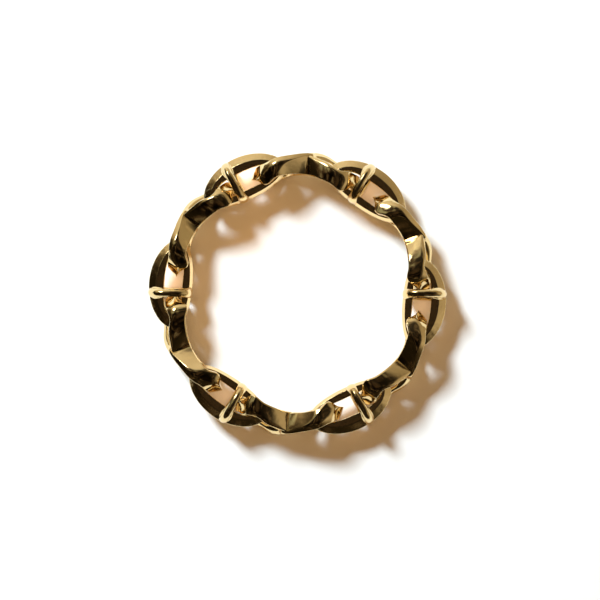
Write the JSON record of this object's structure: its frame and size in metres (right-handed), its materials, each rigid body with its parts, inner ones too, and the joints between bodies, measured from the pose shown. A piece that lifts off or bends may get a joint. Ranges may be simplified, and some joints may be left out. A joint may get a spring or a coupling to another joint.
{
  "type": "infinity cross ring",
  "caption": "Gold finger ring of interlocked links: upright figure-eight links alternate with flat oval links that carry an upright bar, so infinity signs and crosses show from outside",
  "frame": {"origin": "on the finger axis, on the surface that the ring lies on", "axes": "+Z is the finger axis and points up from the surface; +X runs out through the bar of cross_link_1; +Y is 90 degrees anticlockwise of +X seen from above"},
  "size_m": [0.0246, 0.0232, 0.0036],
  "materials": {
    "gold": "polished"
  },
  "bodies": {
    "root": {"infinity_link_1": "gold", "infinity_link_2": "gold", "infinity_link_3": "gold", "infinity_link_4": "gold", "infinity_link_5": "gold", "infinity_link_6": "gold", "cross_link_1": "gold", "cross_link_2": "gold", "cross_link_3": "gold", "cross_link_4": "gold", "cross_link_5": "gold", "cross_link_6": "gold"}
  },
  "joints": []
}
